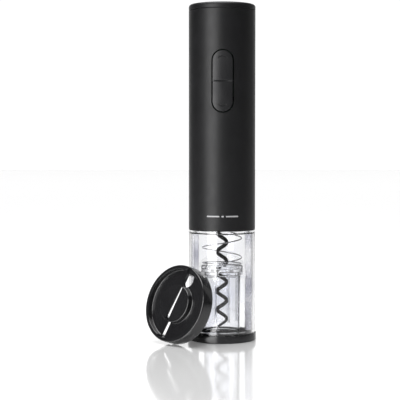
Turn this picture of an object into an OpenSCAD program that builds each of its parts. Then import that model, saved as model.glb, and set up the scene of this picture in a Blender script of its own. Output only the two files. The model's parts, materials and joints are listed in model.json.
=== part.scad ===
// Electric wine opener with a clear cork sleeve, and the foil cutter that leans on it.
// Origin: the opener's axis at the surface it stands on. +Z is up and the rocker faces -Y.

/* [Body] */
// Outer diameter of the body and of the clear sleeve
body_d = 50; // [48:0.5:62]
// Wall of the body shell
shell_wall = 1.8; // [1.4:0.1:2.4]
// Height of the seam between the clear sleeve and the body
seam_z = 83.3; // [75:0.1:110]
// Height of the battery lid's visible cap
lid_h = 5.5; // [4:0.1:8]

/* [Sleeve and base] */
// Wall of the clear sleeve
sleeve_wall = 2.3; // [1.8:0.1:2.8]
// Diameter of the bore that takes the bottle's neck
neck_bore_d = 31.2; // [30:0.1:34]
// Straight length of the neck bore
neck_bore_h = 4; // [3:0.1:6]
// Height of the base ring
base_h = 5.5; // [5:0.1:8]
// How far the base ring stands proud of the sleeve
base_lip = 0.8; // [0.7:0.1:1.5]

/* [Worm] */
// Outside diameter of the worm
worm_d = 10; // [8.5:0.1:10.5]
// Wire diameter of the worm
worm_wire = 3; // [2.4:0.1:3.4]
// Pitch of the worm
worm_pitch = 14.65; // [10:0.05:18]
// Height of the worm's tip above the table
tip_z = 5.5; // [4.2:0.1:8]

/* [Cork guide] */
// Bore of the cork guide
guide_bore_d = 25; // [24:0.1:26]
// Wall of the guide's tube
guide_wall = 1.3; // [1:0.1:1.5]
// Diameter of the guide's collar
collar_d = 31.4; // [30:0.1:33]
// Travel of the guide
guide_travel = 38; // [20:1:38]

/* [Drive] */
// Gear module
gear_m = 0.6; // [0.5:0.05:0.6]
// Face width of a gear
gear_w = 6; // [4:0.5:7]
// Diameter of the motor can
motor_d = 27.7; // [24:0.1:30]
// Length of the motor can
motor_len = 32; // [28:0.5:38]
// Diameter of the motor shaft
motor_shaft_d = 3.17; // [2.3:0.01:3.5]

/* [Switches and cells] */
// Width of the rocker's opening
rocker_w = 16.6; // [14:0.1:18]
// Height of the rocker's opening
rocker_h = 46.6; // [40:0.1:50]
// Gap round the rocker
rocker_gap = 1; // [0.4:0.05:1]
// Height of the rocker's pivot above the seam
rocker_rise = 110.5; // [108:0.1:114]
// Diameter of one AA cell
cell_d = 14.2; // [13.5:0.1:14.5]
// Length of one AA cell with its nub
cell_len = 50.5; // [49:0.1:51]

/* [Foil cutter] */
// Diameter of the foil cutter made for the usual body, and a wider body widens it as much
cutter_d = 58; // [54:0.5:70]
// Thickness of the foil cutter
cutter_t = 10.5; // [9.5:0.1:12.6]
// Diameter of the cutter's raised centre
boss_d = 28.5; // [26:0.1:30]
// Depth of the channel in the cutter's front
channel_depth = 4; // [3:0.1:4.5]
// Diameter of the recess for the bottle's neck
recess_d = 31; // [30:0.1:32]
// Diameter of a cutting wheel
wheel_d = 9; // [7:0.1:9.5]
// Width of the slot at its free end
slot_wide = 4.2; // [3.8:0.1:5]
// Width of the slot at its hinge end
slot_narrow = 1.5; // [1.4:0.1:2]
// Lean of the cutter from upright
cutter_lean = 17.6; // [10:0.1:25]
// Turn of the cutter about the vertical
cutter_turn = 43.4; // [30:0.1:60]
// Turn of the slot in the cutter's face
slot_turn = 18.5; // [0:0.5:40]

/* [Hidden] */
$fn = 96;

// Clearances
slack = 0.02;          // between pieces fixed in one another
shaft_play = 0.05;     // radial, shaft in bearing
gap = 0.3;             // between pieces that move past one another
eps = 0.5;             // how far a cutter runs past the face it opens

// Body
body_r = body_d / 2;
inner_r = body_r - shell_wall;
ledge = 1.6;
ledge_t = 1.6;

// Base ring and sleeve
base_r = body_r + base_lip;
neck_r = neck_bore_d / 2;
sleeve_in_r = body_r - sleeve_wall;
flange_t = 2.1;
flange_r = sleeve_in_r - 3.4;
spigot_h = 9.7;
spigot_wall = 2;
base_spigot_r = sleeve_in_r - 0.1;
base_spigot_wall = 3.6;
base_spigot_h = 3;

// Cork guide, at rest
guide_r = guide_bore_d / 2;
tube_r = guide_r + guide_wall;
collar_r = collar_d / 2;
collar_h = 7.8;
collar_top = seam_z - 25.8;
collar_z = collar_top - collar_h;
guide_bottom = base_h + 0.6;
plate_z = collar_z + 2.3;
plate_t = 2;
worm_hole_r = worm_d / 2 + 1.6;
shoulder = 1.6;
tab_w = 4.4;
tab_h = 2.4;
tab_z = collar_z - tab_h;
rail_w = 1.5;
rail_slot = tab_w + 2 * gap;
rail_r = collar_r + 1.8;
tab_r = rail_r + 1.4;
rail_z = neck_bore_h + base_spigot_h + gap;
grip_rib = 0.7;
grip_ribs = 8;

// Drive, from the bottom up
bulkhead_z = seam_z + 20.7;
bulkhead_t = 3.5;
housing_z = bulkhead_z + bulkhead_t;
housing_floor = 2.5;
washer_t = 0.6;
carrier_t = 2.5;
carrier1_t = 2;
pin_over = 0.5;
stage_gap = 0.6;
carrier2_z = housing_z + housing_floor + washer_t + gap;
planet2_z = carrier2_z + carrier_t + gap;
carrier1_z = planet2_z + gear_w + pin_over + stage_gap;
planet1_z = carrier1_z + carrier1_t + gap;
housing_top = planet1_z + gear_w + pin_over + 0.9;
cover_t = 2;
motor_z = housing_top + cover_t;

// Gears: the sun has 12 teeth, each planet 18 and the ring 48, so each stage is 5 to 1
sun_teeth = 12;
planet_teeth = 18;
ring_teeth = 48;
pressure = 25;
gear_play = 0.05;
addendum = 0.8;
dedendum = 1.1;
arm = gear_m * (sun_teeth + planet_teeth) / 2;
planets = 3;
planet_pin_r = 1.5;
carrier_r = gear_m * (ring_teeth / 2 - addendum) - 1.1;
housing_r = gear_m * (ring_teeth / 2 + dedendum) + 1.94;
ear_r = 3.2;
ear_at = housing_r + 1.2;
ear_angles = [30, 150, 270];
screw_r = 1.25;
screw_head_r = 2.3;
screw_head_h = 1.8;

// Output and worm
hub_r = 6;
hub_z = bulkhead_z - 7;
hub_top = housing_z + housing_floor + washer_t - 0.1;
stub_r = 4;
stub_z = hub_z + 4;
bush_r = 8;
set_screw_r = 1.5;
set_screw_z = stub_z + 1.8;
worm_r = (worm_d - worm_wire) / 2;
worm_bend_z = hub_z - 7;
worm_taper = 16;
worm_front_z = 16;
worm_phase = 360 * (worm_front_z - tip_z) / worm_pitch;
sweep_sides = 10;

// Motor
motor_r = motor_d / 2;
can_wall = 1.2;
can_front = 2;
pilot_r = 5;
shaft_r = motor_shaft_d / 2;
motor_top = motor_z + motor_len;
cap_plug = 2;
cap_t = 2;
cap_boss = 2;
core_r = motor_r - can_wall - 2.8;
core_z = motor_z + 7.5;
core_h = motor_len - 15;
winding_h = 3;
magnet_t = 2.2;
motor_screw_at = 8;
motor_screw_r = 1.2;
terminal_at = 8;
terminal_top = motor_top + cap_t + 3.5;

// Cells and their box
box_z = terminal_top + 6;
box_floor = 2;
box_flange = 2;
cell_r = cell_d / 2;
cell_play = 0.3;
box_wall = 1.1;
box_web = 1.2;
pocket_r = cell_r + cell_play;
cell_at = pocket_r + box_web / 2;
cells_y = 2.5;
pocket_front = cells_y - cell_at - pocket_r;
contact_t = 0.4;
cell_spring_h = 3.1;
cell_z = box_z + box_floor + contact_t + cell_spring_h;
nub_h = 1;
nub_r = 2.7;
cell_top = cell_z + cell_len;
box_top = cell_top - 2;
cell_places = [[-1, -1], [1, -1], [1, 1], [-1, 1]];
lug_r = 0.9;

// Battery lid
plate_gap = 2.8;
contact_plate_z = cell_top + plate_gap;
contact_plate_t = 0.6;
lid_plug_wall = 2.2;
lid_plug_r = inner_r - gap;
lid_z = contact_plate_z + contact_plate_t + 12.1;
lid_top = lid_z + lid_h;
lid_dome = 1.2;
lid_round = 2;
shell_top = lid_z - gap;
lid_rib = 1.6;
seal_r = 0.8;
seal_at = lid_plug_r - seal_r + 0.05;
seal_z = lid_z - 4.5;

// Rocker and its switches
rocker_z = seam_z + rocker_rise;
pivot_y = -(body_r - 4.5);
rocker_face_r = body_r + 0.3;
rocker_back_r = inner_r - gap;
rocker_angle = 2.5;
pin_r = 1;
barrel_r = 2.2;
barrel_half = rocker_w / 2 - rocker_gap - 0.8;
lug_x = rocker_w / 2 + 0.3;
lug_t = 2;
pin_half = lug_x + lug_t - 0.2;
groove_w = 0.8;
groove_d = 0.5;
press_at = 16;
board_y = pivot_y + 3.7;
board_t = 1.6;
board_back = board_y + board_t;
board_w = 24;
board_bottom = box_z - 6;
board_top = box_top + 1;
switch_w = 6;
switch_t = 3.5;
plunger_r = 1.6;
plunger_out = 0.7;
plunger_in = 1;
plunger_end = board_y - switch_t - plunger_out;
press_r = 2;
press_face = plunger_end - press_at * sin(rocker_angle) - 0.05;
board_screw_x = 9;
board_screw_r = 1;
board_screw_zs = [box_z + 5, box_top - 4];
board_boss_r = 2.4;

// Return spring
spring_wire = 0.9;
spring_r = 14.8;
spring_pitch = 14.7;
spring_front_rise = 4.1;
spring_phase = 360 * spring_front_rise / spring_pitch;
spring_steps = 20;

// Foil cutter, in its own frame: the front faces +Z and the hinge is at +Y
usual_body_d = 50;
cutter_r = cutter_d / 2 + (body_d - usual_body_d) / 2;
rim_in_r = base_r + 0.2;
half_t = cutter_t / 2;
edge = 1;
boss_r = boss_d / 2;
recess_r = recess_d / 2;
web = 1.4;
channel_floor = half_t - channel_depth;
recess_top = channel_floor - web;
hinge_r = 2.5;
hinge_y = cutter_r - hinge_r - 0.3;
hinge_pin_r = 1;
hinge_play = 0.25;
knuckle_half = 1.6;
leaf_w = 7.7;
leaf_h = 10;
leaf_y = hinge_y - hinge_r - leaf_h / 2 + 1.2;
wheel_r = wheel_d / 2;
wheel_t = 1;
wheel_bevel = 0.35;
wheel_at = recess_r + wheel_r - 1.9;
wheel_angle = 35;
wheel_z = (recess_top - half_t) / 2;
wheel_pin_r = 1;
pocket_gap = 0.2;
wheel_pocket_r = wheel_r + 0.5;
tongue_r = cutter_r - 2;
tongue_gap = 0.4;
tongue_reach = slot_wide / 2 + 1.5;
notch_reach = tongue_reach + slot_wide - 0.4;
back_half = 8;
window_half = 4;
window_in_y = sqrt(pow(boss_r - web, 2) - pow(window_half, 2)) - eps;
back_top = hinge_y - hinge_r - 1.2;
jaw_spring_r = 1.9;
jaw_spring_h = 0.65;
cutter_z = (cutter_r - edge) * cos(cutter_lean) + (half_t - edge) * sin(cutter_lean) + edge;
cutter_reach = (cutter_r - edge) * sin(cutter_lean) + (half_t - edge) * cos(cutter_lean) + edge;
cutter_shift = 8;
cutter_out = body_r + 0.1 + cutter_reach;

// Colours
black = "#161617";
dark = "#2a2a2c";
clear = [0.85, 0.88, 0.95, 0.35];
steel = "#b8bbc0";
brass = "#c2a14e";
nylon = "#e6e2d6";

// ---- Functions ----

// Points of an arc, in order, about [x, y]
function arc(x, y, r, from, to, steps = 6) =
  [for (i = [0:steps]) let (a = from + (to - from) * i / steps) [x + r * cos(a), y + r * sin(a)]];

function involute(a) = tan(a) * 180 / PI - a;

// Half the angle of a tooth at radius r
function half_tooth(r, teeth, play) =
  let (pitch_r = gear_m * teeth / 2, base = pitch_r * cos(pressure))
  90 / teeth + involute(pressure) - involute(acos(min(1, base / r))) + play / pitch_r * 180 / PI;

// Outline of a gear between two radii, its first tooth at angle 0
function gear_points(teeth, root, tip, play, steps = 4) =
  [for (i = [0:teeth - 1]) each
    [for (k = [0:2 * steps + 1])
      let (up = k <= steps, n = up ? k : 2 * steps + 1 - k, r = root + (tip - root) * n / steps)
      let (a = i * 360 / teeth + (up ? -1 : 1) * half_tooth(r, teeth, play))
      [r * cos(a), r * sin(a)]]];

function unit(v) = v / norm(v);

// One ring of a round tube at p, square to the direction d
function tube_ring(p, d, r, sides) =
  let (side = unit(cross(d, abs(d[2]) > 0.9 ? [1, 0, 0] : [0, 0, 1])), up = cross(unit(d), side))
  [for (k = [0:sides - 1]) let (a = 360 * k / sides) p + r * (side * cos(a) + up * sin(a))];

// ---- Shapes used more than once ----

// A solid round tube through points, with a radius at each
module sweep(points, radii, sides) {
  n = len(points);
  rings = [for (i = [0:n - 1])
    let (d = points[min(i + 1, n - 1)] - points[max(i - 1, 0)])
    each tube_ring(points[i], d, radii[i], sides)];
  walls = [for (i = [0:n - 2]) for (k = [0:sides - 1])
    let (j = (k + 1) % sides)
    each [[i * sides + k, (i + 1) * sides + k, i * sides + j],
      [i * sides + j, (i + 1) * sides + k, (i + 1) * sides + j]]];
  ends = [[for (k = [0:sides - 1]) k], [for (k = [sides - 1:-1:0]) (n - 1) * sides + k]];
  polyhedron(rings, concat(walls, ends), convexity = 10);
}

module tube(outer, inner, z, h) {
  translate([0, 0, z]) linear_extrude(h) difference() {
    circle(outer);
    circle(inner);
  }
}

module rod(r, z, h) {
  translate([0, 0, z]) cylinder(r = r, h = h);
}

// A rod along +Y from y0 to y1
module rod_y(r, x, y0, y1, z) {
  translate([x, y0, z]) rotate([-90, 0, 0]) cylinder(r = r, h = y1 - y0);
}

// A rod along X, from -half to half
module rod_x(r, half, y, z) {
  translate([-half, y, z]) rotate([0, 90, 0]) cylinder(r = r, h = 2 * half);
}

module block(x, y, z) {
  translate([x[0], y[0], z[0]]) cube([x[1] - x[0], y[1] - y[0], z[1] - z[0]]);
}

module gear(teeth, w) {
  pitch_r = gear_m * teeth / 2;
  linear_extrude(w)
    polygon(gear_points(teeth, pitch_r - dedendum * gear_m, pitch_r + addendum * gear_m, -gear_play));
}

// A stadium prism along Y, upright
module stadium(w, h, y0, y1) {
  translate([0, y1, 0]) rotate([90, 0, 0]) linear_extrude(y1 - y0) union() {
    square([w, h - w], center = true);
    for (s = [-1, 1]) translate([0, s * (h - w) / 2]) circle(w / 2);
  }
}

module at_ears() {
  for (a = ear_angles) rotate(a) translate([ear_at, 0, 0]) children();
}

module at_planets() {
  for (i = [0:planets - 1]) rotate(i * 360 / planets) translate([arm, 0, 0]) children();
}

module at_cells() {
  for (p = cell_places) translate([p[0] * cell_at, cells_y + p[1] * cell_at, 0]) children();
}

// Puts the foil cutter where it leans
module cutter_place() {
  rotate(-cutter_turn) translate([-cutter_shift, -cutter_out, cutter_z])
    rotate([90 - cutter_lean, 0, 0]) rotate(-slot_turn) children();
}

// ---- Body ----

module outer_shell() {
  color(black) difference() {
    union() {
      tube(body_r, inner_r, seam_z, shell_top - seam_z);
      tube(inner_r + eps, inner_r - ledge, bulkhead_z - ledge_t, ledge_t);
      difference() {
        tube(inner_r + eps, inner_r - ledge, box_z - ledge_t, ledge_t);
        block([-body_r, body_r], [-body_r, board_back + gap], [box_z - ledge_t - eps, box_z + eps]);
      }
      intersection() {
        for (s = [-1, 1]) translate([s * (lug_x + lug_t / 2), 0, rocker_z])
          block([-lug_t / 2, lug_t / 2], [-body_r, pivot_y + 2], [-2, 2]);
        rod(inner_r + eps, rocker_z - 5, 10);
      }
    }
    translate([0, 0, rocker_z]) stadium(rocker_w, rocker_h, -body_r - eps, -inner_r + 4);
    rod_x(pin_r + slack, pin_half, pivot_y, rocker_z);
  }
}

module top_lid() {
  rim = body_r - lid_round;
  plug_in = lid_plug_r - lid_plug_wall;
  color(black) union() {
    difference() {
      rotate_extrude() polygon(concat(
        [[0, lid_z], [body_r, lid_z]],
        arc(rim, lid_top - lid_dome - lid_round, lid_round, 0, 90),
        [for (i = [1:6]) [rim * (1 - i / 6), lid_top - lid_dome * pow(1 - i / 6, 2)]]
      ));
      rod(plug_in, lid_z - eps, 1.8 + eps);
    }
    difference() {
      tube(lid_plug_r, plug_in, contact_plate_z + contact_plate_t + 1.4, lid_z + 1 - (contact_plate_z + 2));
      rotate_extrude() translate([lid_plug_r, seal_z])
        square([2 * (lid_plug_r - seal_at + seal_r + slack), 2 * (seal_r + slack)], center = true);
    }
    for (a = [0, 90]) rotate(a)
      block([-plug_in - 0.5, plug_in + 0.5], [-lid_rib / 2, lid_rib / 2],
        [contact_plate_z + contact_plate_t, lid_z + 2]);
  }
}

module lid_contact_plate() {
  color(steel) union() {
    rod(lid_plug_r - lid_plug_wall - 1, contact_plate_z, contact_plate_t);
    at_cells() rod(3, cell_top + gap, plate_gap - gap);
  }
}

module lid_seal() {
  color(dark) rotate_extrude() translate([seal_at, seal_z]) circle(seal_r, $fn = 32);
}

module battery_box() {
  out_r = pocket_r + box_wall;
  span = 2 * (cell_at + out_r) - 1;
  color(dark) difference() {
    union() {
      translate([0, 0, box_z]) linear_extrude(box_top - box_z) union() {
        for (p = cell_places) translate([p[0] * cell_at, cells_y + p[1] * cell_at]) circle(out_r);
        translate([0, cells_y]) square([span, 2 * cell_at], center = true);
        translate([0, cells_y]) square([2 * cell_at, span], center = true);
      }
      difference() {
        rod(inner_r - slack, box_z, box_flange);
        block([-body_r, body_r], [-body_r, board_back + gap], [box_z - eps, box_z + box_flange + eps]);
      }
      for (z = board_screw_zs) for (s = [-1, 1])
        rod_y(board_boss_r, s * board_screw_x, board_back, cells_y - cell_at - out_r + 1, z);
    }
    at_cells() rod(pocket_r, box_z + box_floor, cell_len + 10);
    at_cells() rod(lug_r + 0.1, box_z - eps, box_floor + 2 * eps);
    for (z = board_screw_zs) for (s = [-1, 1])
      rod_y(board_screw_r + slack, s * board_screw_x, board_back - eps, pocket_front - 0.3, z);
  }
}

// Cell i: its nub points up on two and down on two, so the lid joins them in series
module cell(i) {
  p = cell_places[i];
  nub_up = p[0] * p[1] > 0;
  translate([p[0] * cell_at, cells_y + p[1] * cell_at, 0]) color("#c9cbd0") union() {
    rod(cell_r, cell_z + (nub_up ? 0 : nub_h), cell_len - nub_h);
    rod(nub_r, nub_up ? cell_top - nub_h - eps : cell_z, nub_h + eps);
  }
}

module cell_1() {
  cell(0);
}

module cell_2() {
  cell(1);
}

module cell_3() {
  cell(2);
}

module cell_4() {
  cell(3);
}

module battery_springs() {
  turns = 3;
  steps = 36;
  wire = 0.3;
  low = box_z + box_floor + contact_t + wire;
  points = [for (i = [0:steps])
    let (a = 360 * turns * i / steps, r = 4.5 - 2.5 * i / steps)
    [r * cos(a), r * sin(a), low + (cell_spring_h - 2 * wire - 0.05) * i / steps]];
  color(steel) at_cells() sweep(points, [for (p = points) wire], 6);
}

module battery_contacts() {
  color(steel) union() {
    at_cells() rod(5, box_z + box_floor, contact_t);
    at_cells() rod(lug_r, box_z - 1.2, box_floor + 1.2 + contact_t);
  }
}

// ---- Switches ----

module circuit_board() {
  color("#1f5a38") difference() {
    block([-board_w / 2, board_w / 2], [board_y, board_back], [board_bottom, board_top]);
    for (z = board_screw_zs) for (s = [-1, 1])
      rod_y(board_screw_r + 0.1, s * board_screw_x, board_y - eps, board_back + eps, z);
  }
}

module board_screws() {
  color(steel) for (z = board_screw_zs) for (s = [-1, 1]) union() {
    rod_y(board_screw_r, s * board_screw_x, board_y - eps, pocket_front - 0.4, z);
    rod_y(1.9, s * board_screw_x, board_y - 1.4, board_y, z);
  }
}

// A push switch on the board, side 1 above the pivot and -1 below
module push_switch(side) {
  z = rocker_z + side * press_at;
  color(dark) difference() {
    block([-switch_w / 2, switch_w / 2], [board_y - switch_t, board_y],
      [z - switch_w / 2, z + switch_w / 2]);
    rod_y(plunger_r + shaft_play, 0, board_y - switch_t - eps, board_y - switch_t + plunger_in + gap, z);
  }
}

module plunger(side) {
  color(nylon)
    rod_y(plunger_r, 0, plunger_end, board_y - switch_t + plunger_in, rocker_z + side * press_at);
}

module switch_up() {
  push_switch(1);
}

module switch_down() {
  push_switch(-1);
}

module plunger_up() {
  plunger(1);
}

module plunger_down() {
  plunger(-1);
}

module rocker_button() {
  w = rocker_w - 2 * rocker_gap;
  h = rocker_h - 2 * rocker_gap;
  color(dark) difference() {
    union() {
      intersection() {
        translate([0, 0, rocker_z]) stadium(w, h, -body_r - 1, -body_r / 2);
        tube(rocker_face_r, rocker_back_r, rocker_z - h, 2 * h);
      }
      block([-barrel_half, barrel_half], [-rocker_back_r + 0.1, pivot_y], [rocker_z - 1.2, rocker_z + 1.2]);
      rod_x(barrel_r, barrel_half, pivot_y, rocker_z);
      for (s = [-1, 1]) rod_y(press_r, 0, -rocker_back_r - 0.5, press_face, rocker_z + s * press_at);
    }
    rod_x(pin_r + shaft_play, rocker_w, pivot_y, rocker_z);
    difference() {
      translate([0, 0, rocker_z]) cube([w - 2, body_d * 2, groove_w], center = true);
      rod(rocker_face_r - groove_d, rocker_z - groove_w, 2 * groove_w);
      block([-body_r, body_r], [pivot_y - 1, body_r * 2], [rocker_z - 1, rocker_z + 1]);
    }
  }
}

module rocker_pin() {
  color(steel) rod_x(pin_r, pin_half - slack, pivot_y, rocker_z);
}

// ---- Motor ----

module motor_can() {
  in_r = motor_r - can_wall;
  color(steel) difference() {
    union() {
      rod(motor_r, motor_z, motor_len);
      rod(pilot_r, housing_top, cover_t + eps);
    }
    rod(in_r, motor_z + can_front, motor_len);
    rod(shaft_r + shaft_play, housing_top - eps, cover_t + can_front + 2 * eps);
    for (s = [-1, 1]) translate([0, s * motor_screw_at, 0])
      rod(motor_screw_r + slack, motor_z - eps, can_front + 2 * eps);
  }
}

module motor_end_cap() {
  color(dark) difference() {
    union() {
      rod(motor_r - can_wall - slack, motor_top - cap_plug, cap_plug);
      rod(motor_r, motor_top, cap_t);
      rod(pilot_r, motor_top + cap_t - eps, cap_boss + eps);
      for (s = [-1, 1]) block([s * terminal_at - 1.5, s * terminal_at + 1.5], [-0.3, 0.3],
        [motor_top + cap_t - eps, terminal_top]);
    }
    rod(shaft_r + shaft_play, motor_top - cap_plug - eps, cap_plug + cap_t + cap_boss + 2 * eps);
  }
}

module motor_magnets() {
  out_r = motor_r - can_wall - slack;
  color("#4a4c50") for (s = [0, 180]) rotate(s) translate([0, 0, core_z - 1.5])
    rotate_extrude(angle = 120) translate([out_r - magnet_t, 0]) square([magnet_t, core_h + 3]);
}

module armature() {
  slots = 5;
  bore = shaft_r + slack;
  color("#8a4f2a") union() {
    difference() {
      tube(core_r, bore, core_z, core_h);
      for (i = [0:slots - 1]) rotate(i * 360 / slots)
        block([core_r - 3.5, core_r + eps], [-0.8, 0.8], [core_z - eps, core_z + core_h + eps]);
    }
    tube(core_r - 1, bore, core_z - winding_h, winding_h);
    tube(core_r - 1, bore, core_z + core_h, winding_h);
    tube(3.4, bore, core_z + core_h + winding_h, motor_top - cap_plug - 0.5 - (core_z + core_h + winding_h));
  }
}

module motor_shaft() {
  pinion_z = planet1_z + gap;
  color(steel) union() {
    rod(shaft_r, pinion_z, motor_top + cap_t + cap_boss - 0.5 - pinion_z);
    translate([0, 0, pinion_z]) gear(sun_teeth, gear_w - gap);
  }
}

module motor_screws() {
  color(steel) for (s = [-1, 1]) translate([0, s * motor_screw_at, 0]) union() {
    rod(2.2, housing_top + 0.05, cover_t - 0.5 - 0.05);
    rod(motor_screw_r, housing_top + 0.1, cover_t + can_front - 0.2);
  }
}

// ---- Gearbox ----

module gearbox_housing() {
  pitch_r = gear_m * ring_teeth / 2;
  floor_top = housing_z + housing_floor;
  color(nylon) difference() {
    union() {
      rod(housing_r, housing_z, housing_top - housing_z);
      at_ears() rod(ear_r, housing_z, housing_top - housing_z);
    }
    translate([0, 0, floor_top]) rotate(180 / ring_teeth) linear_extrude(housing_top - floor_top + eps)
      polygon(gear_points(ring_teeth, pitch_r - addendum * gear_m, pitch_r + dedendum * gear_m, gear_play));
    rod(bush_r + slack, housing_z - eps, housing_floor + 2 * eps);
    at_ears() rod(screw_r + 0.1, housing_z - eps, housing_top - housing_z + 2 * eps);
  }
}

module gearbox_cover() {
  color(steel) difference() {
    union() {
      rod(housing_r, housing_top, cover_t);
      at_ears() rod(ear_r, housing_top, cover_t);
    }
    rod(pilot_r + slack, housing_top - eps, cover_t + 2 * eps);
    at_ears() rod(screw_r + 0.1, housing_top - eps, cover_t + 2 * eps);
    for (s = [-1, 1]) translate([0, s * motor_screw_at, 0]) {
      rod(2.3, housing_top - eps, cover_t - 0.5 + eps);
      rod(motor_screw_r + 0.1, housing_top, cover_t + eps);
    }
  }
}

module gearbox_screws() {
  color(steel) at_ears() union() {
    rod(screw_r, bulkhead_z + 0.5, motor_z - bulkhead_z);
    rod(screw_head_r, motor_z, screw_head_h);
  }
}

module front_bulkhead() {
  color(dark) difference() {
    rod(inner_r - slack, bulkhead_z, bulkhead_t);
    rod(bush_r + slack, bulkhead_z - eps, bulkhead_t + 2 * eps);
    at_ears() rod(screw_r + slack, bulkhead_z + 0.4, bulkhead_t);
  }
}

module output_bush() {
  color(brass) tube(bush_r, hub_r + shaft_play, bulkhead_z, housing_z + housing_floor - bulkhead_z);
}

module thrust_washer() {
  color(nylon) tube(hub_r + 4, hub_r + 0.4, housing_z + housing_floor, washer_t);
}

module carrier_pins(z) {
  at_planets() rod(planet_pin_r, z - eps, gear_w + gap + pin_over + eps);
}

module carrier_1() {
  color(steel) union() {
    rod(carrier_r, carrier1_z, carrier1_t);
    translate([0, 0, planet2_z + gap]) gear(sun_teeth, carrier1_z - planet2_z - gap + eps);
    carrier_pins(carrier1_z + carrier1_t);
  }
}

module carrier_2() {
  color(steel) union() {
    rod(carrier_r, carrier2_z, carrier_t);
    rod(stub_r, stub_z, carrier2_z - stub_z + eps);
    carrier_pins(carrier2_z + carrier_t);
  }
}

module planet(z, i) {
  color(nylon) rotate(i * 360 / planets) translate([arm, 0, z]) difference() {
    rotate(180 / planet_teeth) gear(planet_teeth, gear_w);
    rod(planet_pin_r + shaft_play, -eps, gear_w + 2 * eps);
  }
}

module planet_1a() {
  planet(planet1_z, 0);
}

module planet_1b() {
  planet(planet1_z, 1);
}

module planet_1c() {
  planet(planet1_z, 2);
}

module planet_2a() {
  planet(planet2_z, 0);
}

module planet_2b() {
  planet(planet2_z, 1);
}

module planet_2c() {
  planet(planet2_z, 2);
}

// ---- Worm ----

module worm_hub() {
  color(dark) difference() {
    rod(hub_r, hub_z, hub_top - hub_z);
    rod(stub_r + slack, stub_z, hub_top);
    rod(worm_wire / 2 + slack, hub_z - eps, stub_z - hub_z + 2 * eps);
    translate([0, 0, set_screw_z]) rotate([90, 0, 0]) cylinder(r = set_screw_r + slack, h = hub_r + eps);
  }
}

module hub_set_screw() {
  color(steel) translate([0, 0, set_screw_z]) rotate([90, 0, 0]) translate([0, 0, stub_r + 0.1])
    cylinder(r = set_screw_r, h = hub_r - stub_r - 0.2);
}

// The worm's wire: a point that swells to full section, the helix, then the bend to the axis
module worm() {
  steps_per_turn = 22;
  end_z = stub_z - 0.1;
  steps = ceil((end_z - tip_z) / worm_pitch * steps_per_turn);
  points = [for (i = [0:steps])
    let (z = tip_z + (end_z - tip_z) * i / steps)
    let (b = min(1, max(0, (z - worm_bend_z) / (hub_z - 0.6 - worm_bend_z))))
    let (r = worm_r * (1 + cos(180 * b)) / 2 + 0.001, a = 360 * (z - tip_z) / worm_pitch - worm_phase)
    [r * cos(a), r * sin(a), z]];
  radii = [for (p = points)
    let (t = min(1, (p[2] - tip_z) / worm_taper))
    worm_wire / 2 * (0.08 + 0.92 * sqrt(t))];
  color(black) sweep(points, radii, sweep_sides);
}

// ---- Sleeve, guide and base ----

module return_spring() {
  low = collar_top + spring_wire / 2 + 0.05;
  high = bulkhead_z - spring_wire / 2 - 0.05;
  active = (high - low - 2 * spring_wire) / spring_pitch;
  turns = active + 2;
  steps = ceil(turns * spring_steps);
  points = [for (i = [0:steps])
    let (t = turns * i / steps, a = 360 * t - spring_phase)
    let (rise = t < 1 ? spring_wire * t : t > turns - 1 ? high - low - spring_wire * (turns - t)
      : spring_wire + spring_pitch * (t - 1))
    [spring_r * cos(a), spring_r * sin(a), low + rise]];
  color(steel) sweep(points, [for (p = points) spring_wire / 2], 6);
}

module cork_guide() {
  color(clear) union() {
    rotate_extrude() polygon(concat(
      [[guide_r, guide_bottom], [tube_r, guide_bottom], [tube_r, collar_z], [collar_r, collar_z]],
      arc(collar_r - shoulder, collar_top - shoulder, shoulder, 0, 90),
      [[guide_r, collar_top]]
    ));
    for (s = [0, 180]) rotate(s)
      block([tube_r - 0.6, tab_r], [-tab_w / 2, tab_w / 2], [tab_z, tab_z + tab_h + 1]);
    for (i = [0:grip_ribs - 1]) rotate((i + 0.5) * 360 / grip_ribs)
      block([guide_r - grip_rib, guide_r + eps], [-0.5, 0.5], [guide_bottom + 8, plate_z]);
  }
}

// The plate across the guide, which the worm passes through
module guide_plate() {
  color(clear) tube(guide_r, worm_hole_r, plate_z, plate_t);
}

module clear_sleeve() {
  color(clear) union() {
    rotate_extrude() polygon([
      [body_r, neck_bore_h], [body_r, seam_z], [inner_r - gap, seam_z], [inner_r - gap, seam_z + spigot_h],
      [inner_r - gap - spigot_wall, seam_z + spigot_h], [inner_r - gap - spigot_wall, seam_z],
      [flange_r, seam_z], [flange_r, seam_z - flange_t], [sleeve_in_r, seam_z - flange_t],
      [sleeve_in_r, neck_bore_h]
    ]);
    for (a = [0, 180]) rotate(a) difference() {
      block([rail_r, sleeve_in_r + eps], [-rail_slot / 2 - rail_w, rail_slot / 2 + rail_w],
        [rail_z, seam_z - flange_t + eps]);
      block([rail_r - eps, tab_r + gap], [-rail_slot / 2, rail_slot / 2], [tab_z - gap, seam_z]);
      block([tab_r, sleeve_in_r], [-rail_slot / 2, rail_slot / 2], [tab_z - gap, seam_z - flange_t - 1]);
    }
  }
}

module base_ring() {
  seat_r = body_r + 0.1;
  round_r = 0.6;
  color(black) rotate_extrude() polygon(concat(
    [[neck_r, 0]],
    arc(base_r - round_r, round_r, round_r, -90, 0, 4),
    [[base_r, base_h], [seat_r, base_h], [seat_r, neck_bore_h], [base_spigot_r, neck_bore_h],
      [base_spigot_r, neck_bore_h + base_spigot_h],
      [base_spigot_r - base_spigot_wall, neck_bore_h + base_spigot_h],
      [base_spigot_r - base_spigot_wall, neck_bore_h], [neck_r, neck_bore_h]]
  ));
}

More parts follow.
